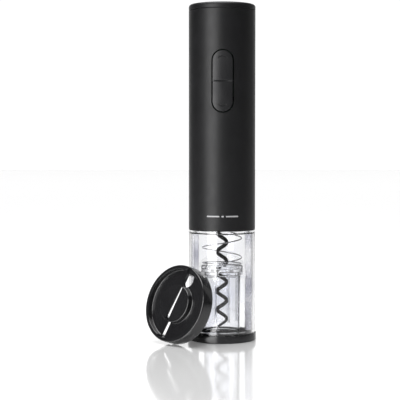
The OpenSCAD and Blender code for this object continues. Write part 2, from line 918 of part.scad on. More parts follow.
module wires() {
  r = 0.7;
  turn_z = terminal_top + 1.6;
  color("#a02820") for (s = [-1, 1]) {
    translate([s * terminal_at, 0, 0]) rod(r, terminal_top, turn_z - terminal_top);
    translate([s * terminal_at, 0, turn_z]) sphere(r, $fn = 24);
    rod_y(r, s * terminal_at, board_back, 0, turn_z);
  }
}

// ---- Foil cutter ----

// The whole cutter before it is cut in two
module cutter_blank() {
  out = cutter_r - edge;
  rotate_extrude() polygon(concat(
    [[0, half_t - web], [boss_r - web, half_t - web], [boss_r - web, recess_top], [recess_r, recess_top],
      [recess_r, -half_t]],
    arc(out, -half_t + edge, edge, -90, 0, 4),
    arc(out, half_t - edge, edge, 0, 90, 4),
    [[rim_in_r, half_t], [rim_in_r, channel_floor], [boss_r, channel_floor], [boss_r, half_t - 0.4],
      [boss_r - 0.4, half_t], [0, half_t]]
  ));
}

// One side of the slot, as an area: side is -1 or 1
module slot_side(side) {
  far = cutter_r + 5;
  polygon([[side * slot_narrow / 2, far], [side * slot_narrow / 2, hinge_y], [side * slot_wide / 2, -far],
    [side * far, -far], [side * far, far]]);
}

module leaf_relief() {
  translate([0, leaf_y, -half_t - eps]) linear_extrude(cutter_t + 2 * eps) intersection() {
    translate([leaf_h / 2 - leaf_w / 2 + 1, 0]) circle(leaf_h / 2 + 1.5);
    translate([-leaf_h / 2 + leaf_w / 2 - 1, 0]) circle(leaf_h / 2 + 1.5);
  }
}

// The free end of the rim, outside a radius and out to x1 from the middle
module rim_end(r, x0, x1) {
  difference() {
    block([x0, x1], [-cutter_r - 1, -cutter_r / 2], [-half_t - eps, half_t + eps]);
    rod(r, -half_t - 1, cutter_t + 2);
  }
}

// One jaw. The knuckles in own_z are kept on the jaw and those in other_z are cleared.
// The fixed jaw's rim ends in a tongue that laps the slot, and the moving jaw's is cut back for it.
// A window in the boss's wall keeps the slot open right through.
module jaw(side, own_z, other_z) {
  difference() {
    union() {
      difference() {
        intersection() {
          cutter_blank();
          translate([0, 0, -half_t - eps]) linear_extrude(cutter_t + 2 * eps) slot_side(side);
        }
        leaf_relief();
        translate([0, hinge_y, 0]) rod(hinge_r + hinge_play, -half_t - eps, cutter_t + 2 * eps);
        block([-back_half, back_half], [-rim_in_r, back_top], [-half_t - eps, recess_top]);
        block([-window_half, window_half], [-boss_r - eps, -window_in_y],
          [channel_floor + 0.05, half_t - web]);
        if (side > 0) rim_end(tongue_r - tongue_gap, 0, notch_reach);
      }
      if (side < 0) intersection() {
        cutter_blank();
        rim_end(tongue_r, -slot_wide, tongue_reach);
      }
      for (z = own_z) translate([0, hinge_y, 0]) union() {
        rod(hinge_r, z[0], z[1] - z[0]);
        block([min(0, side * 5.5), max(0, side * 5.5)], [-hinge_r + 0.7, hinge_r - 0.9], z);
      }
    }
    for (z = other_z) translate([0, hinge_y, 0])
      rod(hinge_r + hinge_play, z[0] - hinge_play, z[1] - z[0] + 2 * hinge_play);
    translate([0, hinge_y, 0])
      rod(hinge_pin_r + (side > 0 ? shaft_play : slack), -half_t - eps, cutter_t + 2 * eps);
    for (a = [-1, 1]) rotate(a * wheel_angle) translate([side * wheel_at, 0, 0]) {
      rod(wheel_pocket_r, wheel_z - wheel_t / 2 - pocket_gap, wheel_t + 2 * pocket_gap);
      rod(wheel_pin_r + slack, -half_t - eps, recess_top + half_t + eps);
    }
  }
}

outer_knuckles = [[-half_t + 0.3, -knuckle_half - hinge_play], [knuckle_half + hinge_play, half_t - 0.3]];
middle_knuckle = [[-knuckle_half + 1, knuckle_half]];

module cutter_jaw_fixed() {
  color(black) cutter_place() jaw(-1, outer_knuckles, middle_knuckle);
}

module cutter_jaw_moving() {
  color(black) cutter_place() jaw(1, middle_knuckle, outer_knuckles);
}

module cutter_hinge_pin() {
  color(steel) cutter_place() translate([0, hinge_y, 0]) rod(hinge_pin_r, -half_t + 0.4, cutter_t - 0.8);
}

// The opening spring, wound round the hinge pin
module cutter_spring() {
  color(steel) cutter_place() translate([0, hinge_y, 0])
    tube(jaw_spring_r, hinge_pin_r + 0.15, -knuckle_half - hinge_play, jaw_spring_h);
}

module cutter_wheel(side, turn) {
  color(steel) cutter_place() rotate(turn * wheel_angle) translate([side * wheel_at, 0, wheel_z])
    rotate_extrude() polygon([
      [wheel_pin_r + shaft_play, -wheel_t / 2], [wheel_r - wheel_bevel * 3, -wheel_t / 2], [wheel_r, -0.05],
      [wheel_r, 0.05], [wheel_r - wheel_bevel * 3, wheel_t / 2], [wheel_pin_r + shaft_play, wheel_t / 2]
    ]);
}

module cutter_wheel_1() {
  cutter_wheel(-1, -1);
}

module cutter_wheel_2() {
  cutter_wheel(-1, 1);
}

module cutter_wheel_3() {
  cutter_wheel(1, -1);
}

module cutter_wheel_4() {
  cutter_wheel(1, 1);
}

module wheel_pins(side) {
  color(steel) cutter_place() for (a = [-1, 1]) rotate(a * wheel_angle) translate([side * wheel_at, 0, 0])
    rod(wheel_pin_r, -half_t + 0.1, recess_top + half_t - 0.2);
}

module wheel_pins_fixed() {
  wheel_pins(-1);
}

module wheel_pins_moving() {
  wheel_pins(1);
}

outer_shell();
top_lid();
lid_contact_plate();
lid_seal();
battery_box();
cell_1();
cell_2();
cell_3();
cell_4();
battery_springs();
battery_contacts();
circuit_board();
board_screws();
switch_up();
switch_down();
plunger_up();
plunger_down();
rocker_button();
rocker_pin();
motor_can();
motor_end_cap();
motor_magnets();
armature();
motor_shaft();
motor_screws();
gearbox_housing();
gearbox_cover();
gearbox_screws();
front_bulkhead();
output_bush();
thrust_washer();
carrier_1();
carrier_2();
planet_1a();
planet_1b();
planet_1c();
planet_2a();
planet_2b();
planet_2c();
worm();
worm_hub();
hub_set_screw();
return_spring();
cork_guide();
guide_plate();
clear_sleeve();
base_ring();
wires();
cutter_jaw_fixed();
cutter_jaw_moving();
cutter_hinge_pin();
cutter_spring();
cutter_wheel_1();
cutter_wheel_2();
cutter_wheel_3();
cutter_wheel_4();
wheel_pins_fixed();
wheel_pins_moving();
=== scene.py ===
import json
from math import atan2, cos, degrees, pi, radians, sin, sqrt

import bmesh
import bpy
from mathutils import Matrix, Vector


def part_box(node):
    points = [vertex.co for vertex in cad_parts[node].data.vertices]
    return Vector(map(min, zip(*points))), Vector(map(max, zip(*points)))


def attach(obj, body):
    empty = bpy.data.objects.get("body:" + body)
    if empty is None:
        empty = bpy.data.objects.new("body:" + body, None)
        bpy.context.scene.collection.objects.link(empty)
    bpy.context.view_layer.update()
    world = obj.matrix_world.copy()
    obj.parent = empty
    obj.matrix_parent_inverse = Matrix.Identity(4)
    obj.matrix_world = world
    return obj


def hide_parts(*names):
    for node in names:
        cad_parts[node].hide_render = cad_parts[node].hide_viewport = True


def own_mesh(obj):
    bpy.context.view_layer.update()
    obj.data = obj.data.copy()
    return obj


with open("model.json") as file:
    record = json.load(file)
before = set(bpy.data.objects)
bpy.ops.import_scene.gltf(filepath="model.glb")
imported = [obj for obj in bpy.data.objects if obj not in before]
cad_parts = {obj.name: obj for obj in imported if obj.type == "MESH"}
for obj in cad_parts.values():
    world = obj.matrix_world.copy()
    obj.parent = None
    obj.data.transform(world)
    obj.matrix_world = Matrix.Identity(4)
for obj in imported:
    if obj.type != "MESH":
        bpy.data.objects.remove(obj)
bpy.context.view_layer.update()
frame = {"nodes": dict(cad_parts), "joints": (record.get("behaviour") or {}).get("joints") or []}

MM = 0.001
UP = Vector((0, 0, 1))


def corner_low(node):
    return Vector(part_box(node)[0])


def corner_high(node):
    return Vector(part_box(node)[1])


def joint(name):
    return [row for row in frame["joints"] if row["name"] == name][0]


# ---- Sizes, from the frame and from the walls and fits of this opener ----

FINE = 192
HAIR = 0.02 * MM
PLUG_GAP = 0.3 * MM
BODY_WALL = 1.8 * MM
BODY_CHAMFER = 0.2 * MM
BODY_R = corner_high("outer_shell").x
BODY_INNER_R = BODY_R - BODY_WALL
SEAM_Z = corner_low("outer_shell").z
SHELL_TOP = corner_high("outer_shell").z
LID_Z = SHELL_TOP + 0.3 * MM
LID_TOP = corner_high("top_lid").z
LID_PLUG_Z = corner_low("top_lid").z
RING_R = corner_high("base_ring").x
RING_TOP = 5.5 * MM
NECK_R = 15.6 * MM
SLEEVE_WALL = 2.3 * MM
SLEEVE_INNER_R = BODY_R - SLEEVE_WALL
SLEEVE_Z = corner_low("clear_sleeve").z
BULKHEAD_Z = corner_low("front_bulkhead").z
ROCKER_LOW = corner_low("rocker_button")
ROCKER_HIGH = corner_high("rocker_button")
ROCKER_Z = (ROCKER_LOW.z + ROCKER_HIGH.z) / 2
ROCKER_WIDTH = ROCKER_HIGH.x - ROCKER_LOW.x
ROCKER_HEIGHT = ROCKER_HIGH.z - ROCKER_LOW.z
ROCKER_GAP = 1 * MM
PIVOT_Y = (corner_low("rocker_pin").y + corner_high("rocker_pin").y) / 2
GUIDE_LOW = corner_low("cork_guide")
GUIDE_HIGH = corner_high("cork_guide")


# ---- Mesh helpers ----

def arc(x, z, r, start, end, steps=6):
    """Points on an arc about (x, z), from one angle to another in degrees."""
    angles = [radians(start + (end - start) * i / steps) for i in range(steps + 1)]
    return [(x + r * cos(a), z + r * sin(a)) for a in angles]


def lathe(profile, closed=True, steps=128):
    """A solid of revolution. An open profile starts and ends on the axis."""
    bm = bmesh.new()
    verts = [bm.verts.new((x, 0, z)) for x, z in profile]
    pairs = list(zip(verts, verts[1:]))
    if closed:
        pairs.append((verts[-1], verts[0]))
    edges = [bm.edges.new(pair) for pair in pairs]
    bmesh.ops.spin(bm, geom=verts + edges, cent=(0, 0, 0), axis=UP, angle=2 * pi, steps=steps,
                   use_merge=True)
    bmesh.ops.remove_doubles(bm, verts=bm.verts, dist=1e-7)
    bmesh.ops.recalc_face_normals(bm, faces=bm.faces)
    return bm


def block(low, high, rounding=0.0):
    bm = bmesh.new()
    size = Vector(high) - Vector(low)
    centre = (Vector(high) + Vector(low)) / 2
    bmesh.ops.create_cube(bm, size=1, matrix=Matrix.Translation(centre) @ Matrix.Diagonal(size).to_4x4())
    if rounding:
        bmesh.ops.bevel(bm, geom=bm.edges[:], offset=rounding, affect="EDGES", segments=2, profile=0.5,
                        material=-1)
    return bm


def rod(start, end, r, steps=32):
    bm = bmesh.new()
    start, end = Vector(start), Vector(end)
    turn = UP.rotation_difference(end - start).to_matrix().to_4x4()
    bmesh.ops.create_cone(bm, cap_ends=True, segments=steps, radius1=r, radius2=r,
                          depth=(end - start).length, matrix=Matrix.Translation((start + end) / 2) @ turn)
    return bm


def prism(outline, low, high):
    """An outline in X and Z, extruded along Y from low to high."""
    bm = bmesh.new()
    face = bm.faces.new([bm.verts.new((x, low, z)) for x, z in outline])
    grown = bmesh.ops.extrude_face_region(bm, geom=[face])
    moved = [v for v in grown["geom"] if isinstance(v, bmesh.types.BMVert)]
    bmesh.ops.translate(bm, verts=moved, vec=(0, high - low, 0))
    bmesh.ops.recalc_face_normals(bm, faces=bm.faces)
    return bm


def column(outline, low, high):
    """An outline in X and Y, extruded along Z from low to high."""
    bm = prism([(x, -y) for x, y in outline], low, high)
    bmesh.ops.transform(bm, matrix=Matrix.Rotation(pi / 2, 4, "X"), verts=bm.verts)
    bmesh.ops.recalc_face_normals(bm, faces=bm.faces)
    return bm


def stadium(width, height, z):
    """An upright stadium outline centred on x = 0."""
    r, rise = width / 2, (height - width) / 2
    return arc(0, z + rise, r, 0, 180, 24) + arc(0, z - rise, r, 180, 360, 24)


def add_parts(whole, parts):
    """Puts the parts into a bmesh as they are, with no cut or weld."""
    for part in parts:
        mesh = bpy.data.meshes.new("part")
        part.to_mesh(mesh)
        part.free()
        whole.from_mesh(mesh)
        bpy.data.meshes.remove(mesh)


def join(*parts):
    """One bmesh that holds all the parts."""
    whole = bmesh.new()
    add_parts(whole, parts)
    return whole


def link_object(name, data):
    obj = bpy.data.objects.new(name, data)
    bpy.context.scene.collection.objects.link(obj)
    return obj


def loose_object(name, bm):
    mesh = bpy.data.meshes.new(name)
    bm.to_mesh(mesh)
    bm.free()
    return link_object(name, mesh)


def apply_modifiers(obj):
    graph = bpy.context.evaluated_depsgraph_get()
    mesh = bpy.data.meshes.new_from_object(obj.evaluated_get(graph))
    old = obj.data
    obj.modifiers.clear()
    obj.data = mesh
    bpy.data.meshes.remove(old)


def carve(obj, *tools, operation="DIFFERENCE"):
    """Cuts each tool from the object, or keeps what they share."""
    for tool in tools:
        cutter = loose_object("cutter_tool", tool)
        change = obj.modifiers.new("carve", "BOOLEAN")
        change.operation = operation
        change.solver = "EXACT"
        change.object = cutter
        apply_modifiers(obj)
        bpy.data.objects.remove(cutter)


def round_edges(obj, width, segments=3, angle=35):
    change = obj.modifiers.new("rounding", "BEVEL")
    change.width = width
    change.segments = segments
    change.limit_method = "ANGLE"
    change.angle_limit = radians(angle)
    change.profile = 0.5
    change.use_clamp_overlap = True
    apply_modifiers(obj)


def finish_piece(obj, material, body, slot, *replaced, sharp=35):
    """Shades a piece, gives it its material, and hangs it on its body."""
    obj.data.shade_smooth()
    obj.data.set_sharp_from_angle(angle=radians(sharp))
    obj.data.materials.clear()
    obj.data.materials.append(material)
    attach(obj, body)
    if replaced:
        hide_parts(*replaced)


def piece(name, bm, material, body, slot, *replaced):
    finish_piece(loose_object(name, bm), material, body, slot, *replaced)


def wire_object(name, points, radii, sides=4):
    """A round wire through points, with a radius at each, as a mesh."""
    curve = bpy.data.curves.new(name, "CURVE")
    curve.dimensions = "3D"
    curve.bevel_depth = 1
    curve.bevel_resolution = sides
    curve.use_fill_caps = True
    spline = curve.splines.new("POLY")
    spline.points.add(len(points) - 1)
    for point, place, r in zip(spline.points, points, radii):
        point.co = (*place, 1)
        point.radius = r
    drawn = link_object(name + "_path", curve)
    graph = bpy.context.evaluated_depsgraph_get()
    mesh = bpy.data.meshes.new_from_object(drawn.evaluated_get(graph))
    bpy.data.objects.remove(drawn)
    return link_object(name, mesh)


# ---- Material helpers ----

def new_material(name, **values):
    material = bpy.data.materials.new(name)
    material.use_nodes = True
    shader = material.node_tree.nodes["Principled BSDF"]
    for key, value in values.items():
        shader.inputs[key.replace("_", " ")].default_value = value
    return material, material.node_tree, shader


def object_noise(tree, scale, detail=3.0, stretch=(1, 1, 1)):
    coords = tree.nodes.new("ShaderNodeTexCoord")
    mapping = tree.nodes.new("ShaderNodeMapping")
    mapping.inputs["Scale"].default_value = stretch
    noise = tree.nodes.new("ShaderNodeTexNoise")
    noise.inputs["Scale"].default_value = scale
    noise.inputs["Detail"].default_value = detail
    tree.links.new(coords.outputs["Object"], mapping.inputs["Vector"])
    tree.links.new(mapping.outputs["Vector"], noise.inputs["Vector"])
    return noise.outputs["Fac"]


def add_bump(tree, shader, height, strength, distance):
    bump = tree.nodes.new("ShaderNodeBump")
    bump.inputs["Strength"].default_value = strength
    bump.inputs["Distance"].default_value = distance
    tree.links.new(height, bump.inputs["Height"])
    tree.links.new(bump.outputs["Normal"], shader.inputs["Normal"])


def add_ramp(tree, value, socket, low, high, start=0.3, end=0.7):
    """Drives a socket between two colours or two greys from a value."""
    ramp = tree.nodes.new("ShaderNodeValToRGB")
    ramp.color_ramp.elements[0].position = start
    ramp.color_ramp.elements[1].position = end
    for element, shade in zip(ramp.color_ramp.elements, (low, high)):
        element.color = (*shade, 1) if isinstance(shade, tuple) else (shade, shade, shade, 1)
    tree.links.new(value, ramp.inputs["Fac"])
    tree.links.new(ramp.outputs["Color"], socket)


def moulded_plastic(name, dark, light, smooth, rough, grain=2600, depth=0.12, **values):
    """Moulded plastic: fine grain, a slow drift of colour and a patchy gloss."""
    material, tree, shader = new_material(name, **values)
    add_ramp(tree, object_noise(tree, 60, 2), shader.inputs["Base Color"], dark, light)
    add_ramp(tree, object_noise(tree, 140, 4), shader.inputs["Roughness"], smooth, rough)
    add_bump(tree, shader, object_noise(tree, grain, 2), depth, 0.02 * MM)
    return material


def metal(name, dark, light, smooth, rough, stretch=(1, 1, 1), grain=900, depth=0.15):
    """Drawn or turned metal: streaks along the stretch."""
    material, tree, shader = new_material(name, Metallic=1.0)
    streaks = object_noise(tree, grain, 4, stretch)
    add_ramp(tree, streaks, shader.inputs["Base Color"], dark, light)
    add_ramp(tree, object_noise(tree, 300, 3), shader.inputs["Roughness"], smooth, rough)
    add_bump(tree, shader, streaks, depth, 0.02 * MM)
    return material


def clear_plastic(name, tint, grain):
    material, tree, shader = new_material(name, Transmission_Weight=1.0, IOR=1.49)
    add_ramp(tree, object_noise(tree, 40, 2), shader.inputs["Base Color"], tint, (1.0, 1.0, 1.0))
    add_ramp(tree, object_noise(tree, grain, 3), shader.inputs["Roughness"], 0.0, 0.03)
    add_bump(tree, shader, object_noise(tree, 90, 1), 0.04, 0.05 * MM)
    return material


BODY_BLACK = moulded_plastic("soft_touch_black", (0.0045, 0.0045, 0.005), (0.006, 0.006, 0.0068), 0.41, 0.48,
                             Specular_IOR_Level=0.35)
ROCKER_BLACK = moulded_plastic("rocker_charcoal", (0.009, 0.009, 0.01), (0.012, 0.012, 0.013), 0.34, 0.42,
                               Specular_IOR_Level=0.4)
MARK_GREY = moulded_plastic("printed_grey", (0.36, 0.36, 0.37), (0.42, 0.42, 0.43), 0.4, 0.5)
GLOSS_BLACK = moulded_plastic("polished_black", (0.010, 0.010, 0.011), (0.013, 0.013, 0.014), 0.10, 0.2,
                              grain=700, depth=0.05, Coat_Weight=0.35, Coat_Roughness=0.08)
RING_BLACK = moulded_plastic("ring_black", (0.010, 0.010, 0.011), (0.014, 0.014, 0.015), 0.18, 0.28,
                             grain=900, depth=0.06)
DARK_PLASTIC = moulded_plastic("inner_dark", (0.03, 0.03, 0.032), (0.045, 0.045, 0.05), 0.45, 0.6)
NYLON = moulded_plastic("natural_nylon", (0.66, 0.63, 0.54), (0.76, 0.73, 0.64), 0.38, 0.5, grain=900)
BOARD_GREEN = moulded_plastic("board_green", (0.003, 0.018, 0.009), (0.005, 0.026, 0.013), 0.35, 0.5)
RUBBER = moulded_plastic("seal_rubber", (0.018, 0.018, 0.018), (0.03, 0.03, 0.03), 0.6, 0.75, grain=1500)
WIRE_RED = moulded_plastic("wire_red", (0.42, 0.02, 0.015), (0.52, 0.03, 0.02), 0.35, 0.5)
WORM_BLACK = moulded_plastic("worm_coating", (0.003, 0.003, 0.0034), (0.006, 0.006, 0.0065), 0.26, 0.38,
                             grain=1100, depth=0.1, Specular_IOR_Level=0.18)
CELL_WRAP = metal("cell_wrap", (0.42, 0.43, 0.46), (0.5, 0.51, 0.54), 0.25, 0.35, grain=80, depth=0.02)
BLACK_STEEL = metal("blackened_steel", (0.012, 0.012, 0.013), (0.02, 0.02, 0.022), 0.4, 0.5)
STEEL = metal("turned_steel", (0.5, 0.5, 0.52), (0.66, 0.66, 0.68), 0.2, 0.34, (0.15, 0.15, 4.0))
SPRING_STEEL = metal("spring_steel", (0.4, 0.4, 0.42), (0.6, 0.6, 0.62), 0.14, 0.24)
BRASS = metal("bush_brass", (0.6, 0.43, 0.17), (0.72, 0.54, 0.24), 0.25, 0.38, (0.2, 0.2, 3.0))
COPPER = metal("winding_copper", (0.42, 0.16, 0.07), (0.62, 0.28, 0.13), 0.3, 0.45, grain=1800, depth=0.4)
MAGNET = metal("magnet_grey", (0.08, 0.08, 0.085), (0.13, 0.13, 0.14), 0.5, 0.65, grain=1200)
CLEAR = clear_plastic("clear_sleeve_plastic", (0.955, 0.96, 0.985), 200)
# The rails' tint is much darker than the sleeve's: painted shade, standing for the dark reflections the
# tube's walls show along the rails.
CLEAR_RAIL_PAINTED_SHADE = clear_plastic("clear_rail_painted_shade", (0.62, 0.62, 0.67), 200)
CLEAR_GUIDE = clear_plastic("clear_guide_plastic", (0.93, 0.94, 0.975), 260)


# ---- Body ----

def rocker_prism(gap):
    """The rocker's outline with a gap round it, as a prism through the front wall."""
    outline = stadium(ROCKER_WIDTH + 2 * gap, ROCKER_HEIGHT + 2 * gap, ROCKER_Z)
    return prism(outline, -BODY_R - 2 * MM, -BODY_R / 2)


def body_shell():
    ledge = 1.6 * MM
    ledge_r, ledge_z = BODY_INNER_R - ledge, BULKHEAD_Z - ledge
    profile = [
        (BODY_R - BODY_CHAMFER, SEAM_Z), (BODY_R, SEAM_Z + BODY_CHAMFER),
        (BODY_R, SHELL_TOP - BODY_CHAMFER), (BODY_R - BODY_CHAMFER, SHELL_TOP),
        (BODY_INNER_R, SHELL_TOP), (BODY_INNER_R, BULKHEAD_Z),
        (ledge_r, BULKHEAD_Z), (ledge_r, ledge_z), (BODY_INNER_R, ledge_z), (BODY_INNER_R, SEAM_Z),
    ]
    shell = loose_object("body_shell", lathe(profile, steps=FINE))
    carve(shell, rocker_prism(ROCKER_GAP))
    finish_piece(shell, BODY_BLACK, "housing", "body_black", "outer_shell")


def pivot_lugs():
    """The two lugs inside the wall that hold the ends of the rocker's pin."""
    outside = corner_high("rocker_pin").x + 0.2 * MM
    inside = outside - 2 * MM
    half, foot_y = 2 * MM, -BODY_INNER_R + 1.9 * MM
    lugs = []
    for side in (-1, 1):
        near, far = sorted((side * inside, side * outside))
        lugs.append(block((near, foot_y, ROCKER_Z - half), (far, PIVOT_Y + half, ROCKER_Z + half), 0.3 * MM))
    piece("pivot_lugs", join(*lugs), BODY_BLACK, "housing", "body_black")


def battery_lid():
    rounding, dome, rows = 2 * MM, 1.2 * MM, 8
    rim = BODY_R - rounding
    shoulder_z = LID_TOP - dome - rounding
    crown = [(rim * (1 - i / rows), LID_TOP - dome * (1 - i / rows) ** 2) for i in range(1, rows + 1)]
    cap = [(0, LID_Z), (BODY_R - BODY_CHAMFER, LID_Z), (BODY_R, LID_Z + BODY_CHAMFER)]
    cap += arc(rim, shoulder_z, rounding, 0, 90, 8) + crown
    seal_low, seal_high = corner_low("lid_seal"), corner_high("lid_seal")
    plug_r = BODY_INNER_R - PLUG_GAP
    plug_in = plug_r - 2.2 * MM
    plug_z = LID_PLUG_Z + 1.4 * MM
    groove_r = plug_r - (seal_high.z - seal_low.z)
    plug = [
        (plug_in, LID_Z), (plug_in, plug_z), (plug_r - BODY_CHAMFER, plug_z), (plug_r, plug_z + BODY_CHAMFER),
        (plug_r, seal_low.z), (groove_r, seal_low.z), (groove_r, seal_high.z), (plug_r, seal_high.z),
        (plug_r, LID_Z),
    ]
    rib, rib_edge = 0.8 * MM, 0.15 * MM
    ribs = [block((-plug_in, -rib, LID_PLUG_Z), (plug_in, rib, LID_Z), rib_edge),
            block((-rib, -plug_in, LID_PLUG_Z), (rib, plug_in, LID_Z), rib_edge)]
    piece("battery_lid", join(lathe(cap, closed=False, steps=FINE), lathe(plug), *ribs),
          BODY_BLACK, "lid", "body_black", "top_lid")


def wrapped_bar(x_low, x_high, z, half):
    """A thin printed bar with round ends, wrapped on the body."""
    steps = 20
    lift, sink, thinnest = BODY_R + 0.03 * MM, BODY_R - 0.05 * MM, 0.04 * MM
    bm = bmesh.new()
    rings = []
    for i in range(steps + 1):
        x = (x_low + x_high) / 2 - (x_high - x_low) / 2 * cos(pi * i / steps)
        inset = max(0, half - (x - x_low), half - (x_high - x))
        rise = max(thinnest, sqrt(max(0, half * half - inset * inset)))
        a = x / BODY_R
        rings.append([bm.verts.new((r * sin(a), -r * cos(a), z + side * rise))
                      for r, side in ((lift, 1), (lift, -1), (sink, -1), (sink, 1))])
    for near, far in zip(rings, rings[1:]):
        for i in range(4):
            bm.faces.new((near[i], near[(i + 1) % 4], far[(i + 1) % 4], far[i]))
    bm.faces.new(rings[0])
    bm.faces.new(rings[-1])
    bmesh.ops.recalc_face_normals(bm, faces=bm.faces)
    return bm


def printed_mark():
    """A plain mark on the front: two bars with a dot between them."""
    z, half = SEAM_Z + 11 * MM, 0.5 * MM
    spans = [(-12 * MM, -2.4 * MM), (-0.9 * MM, 0.9 * MM), (2.4 * MM, 12 * MM)]
    bars = [wrapped_bar(low, high, z, half) for low, high in spans]
    piece("printed_mark", join(*bars), MARK_GREY, "housing", "dark_plastic")


def chevron(z, up):
    """The two strokes of a small arrowhead, as cutting tools."""
    reach, stroke, depth, tilt, drop = 1.9 * MM, 0.3 * MM, 0.5 * MM, 64, 0.3 * MM
    face_y = ROCKER_LOW.y
    tools = []
    for side in (-1, 1):
        bar = block((-stroke, face_y - MM, -reach), (stroke, face_y + depth, reach * 0.9))
        bmesh.ops.transform(bar, matrix=Matrix.Rotation(radians(-side * tilt), 4, "Y"), verts=bar.verts)
        if not up:
            bmesh.ops.transform(bar, matrix=Matrix.Scale(-1, 4, UP), verts=bar.verts)
            bmesh.ops.recalc_face_normals(bar, faces=bar.faces)
        bmesh.ops.translate(bar, verts=bar.verts, vec=(side * reach * 0.75, 0, z - drop if up else z + drop))
        tools.append(bar)
    return tools


def rocker():
    face_r, back_r = -ROCKER_LOW.y, BODY_INNER_R - PLUG_GAP
    low, high, rows = ROCKER_LOW.z - MM, ROCKER_HIGH.z + MM, 32
    face = [(face_r, low + (high - low) * i / rows) for i in range(rows + 1)]
    skin = loose_object("rocker", lathe(face + [(back_r, high), (back_r, low)], steps=256))
    carve(skin, rocker_prism(0), operation="INTERSECT")
    groove, groove_depth = 0.5 * MM, 1.2 * MM
    half = ROCKER_WIDTH / 2 - 0.7 * MM
    carve(skin, block((-half, -face_r - MM, ROCKER_Z - groove),
                      (half, -face_r + groove_depth, ROCKER_Z + groove)))
    arrow_at = ROCKER_HEIGHT / 2 - 4.2 * MM
    carve(skin, *chevron(ROCKER_Z + arrow_at, True), *chevron(ROCKER_Z - arrow_at, False))
    round_edges(skin, 0.4 * MM, 3, 50)
    finish_piece(skin, ROCKER_BLACK, "rocker", "rocker_black", "rocker_button", sharp=30)


def rocker_pivot():
    """The barrel on the pin, its web to the skin, and the two posts that press the plungers."""
    back_y = PLUG_GAP - BODY_INNER_R
    barrel, barrel_r, web = corner_high("rocker_pin").x - 3.4 * MM, 2.2 * MM, 1.2 * MM
    post_at, post_r = 16 * MM, 2 * MM
    post_end = corner_low("plunger_up").y - 0.88 * MM
    parts = [rod((-barrel, PIVOT_Y, ROCKER_Z), (barrel, PIVOT_Y, ROCKER_Z), barrel_r),
             block((-barrel, back_y + 0.2 * MM, ROCKER_Z - web), (barrel, PIVOT_Y, ROCKER_Z + web))]
    for z in (ROCKER_Z - post_at, ROCKER_Z + post_at):
        parts.append(rod((0, back_y - 0.3 * MM, z), (0, post_end, z), post_r))
    piece("rocker_pivot", join(*parts), ROCKER_BLACK, "rocker", "rocker_black")


# ---- Sleeve, ring and guide ----

def sleeve():
    spigot_r = BODY_INNER_R - PLUG_GAP
    spigot_in = spigot_r - 2 * MM
    top = corner_high("clear_sleeve").z
    flange_z = SEAM_Z - 2.1 * MM
    flange_r = SLEEVE_INNER_R - 3.4 * MM
    edge, fillet = 0.25 * MM, 0.8 * MM
    profile = [
        (BODY_R - edge, SLEEVE_Z), (BODY_R, SLEEVE_Z + edge), (BODY_R, SEAM_Z - edge),
        (BODY_R - edge, SEAM_Z - HAIR), (spigot_r, SEAM_Z - HAIR), (spigot_r, top), (spigot_in, top),
        (spigot_in, SEAM_Z), (flange_r + edge, SEAM_Z), (flange_r, SEAM_Z - edge),
        (flange_r, flange_z + edge), (flange_r + edge, flange_z),
    ]
    profile += arc(SLEEVE_INNER_R - fillet, flange_z - fillet, fillet, 90, 0, 4)
    profile += [(SLEEVE_INNER_R, SLEEVE_Z)]
    wall = lathe(profile, steps=FINE)
    slot, rib, fit, rail_edge = 2.5 * MM, 1.5 * MM, 0.05 * MM, 0.2 * MM
    rail_r, wall_r = GUIDE_HIGH.x - 1.4 * MM, SLEEVE_INNER_R - 0.12 * MM
    rail_z, rail_top = SLEEVE_Z + 3.3 * MM, flange_z - 0.1 * MM
    stop_z = GUIDE_HIGH.z - 10.5 * MM
    rails = []
    for side in (-1, 1):
        near, far = sorted((side * rail_r, side * wall_r))
        for y in (-slot - rib, slot):
            rails.append(block((near, y, rail_z), (far, y + rib, rail_top), rail_edge))
        rails.append(block((near, -slot + fit, rail_z), (far, slot - fit, stop_z), rail_edge))
    piece("sleeve", wall, CLEAR, "housing", "clear_plastic", "clear_sleeve")
    # The rails take the darker tint, which is painted shade for the dark lines along the tube's walls.
    piece("sleeve_rails", join(*rails), CLEAR_RAIL_PAINTED_SHADE, "housing", "clear_plastic")


def ring_base():
    seat_r = BODY_R + 0.1 * MM
    spigot_r = SLEEVE_INNER_R - 0.1 * MM
    spigot_in = spigot_r - 3.6 * MM
    spigot_z = corner_high("base_ring").z
    edge, foot, lip = 0.2 * MM, 0.6 * MM, 0.3 * MM
    profile = [(NECK_R + edge, 0)]
    profile += arc(RING_R - foot, foot, foot, -90, 0, 5)
    profile += arc(RING_R - lip, RING_TOP - lip, lip, 0, 90, 4)
    profile += [
        (seat_r, RING_TOP), (seat_r, SLEEVE_Z), (spigot_r, SLEEVE_Z), (spigot_r, spigot_z - edge),
        (spigot_r - edge, spigot_z), (spigot_in + edge, spigot_z), (spigot_in, spigot_z - edge),
        (spigot_in, SLEEVE_Z), (NECK_R + edge, SLEEVE_Z), (NECK_R, SLEEVE_Z - edge), (NECK_R, edge),
    ]
    piece("ring_base", lathe(profile, steps=FINE), RING_BLACK, "housing", "ring_black", "base_ring")


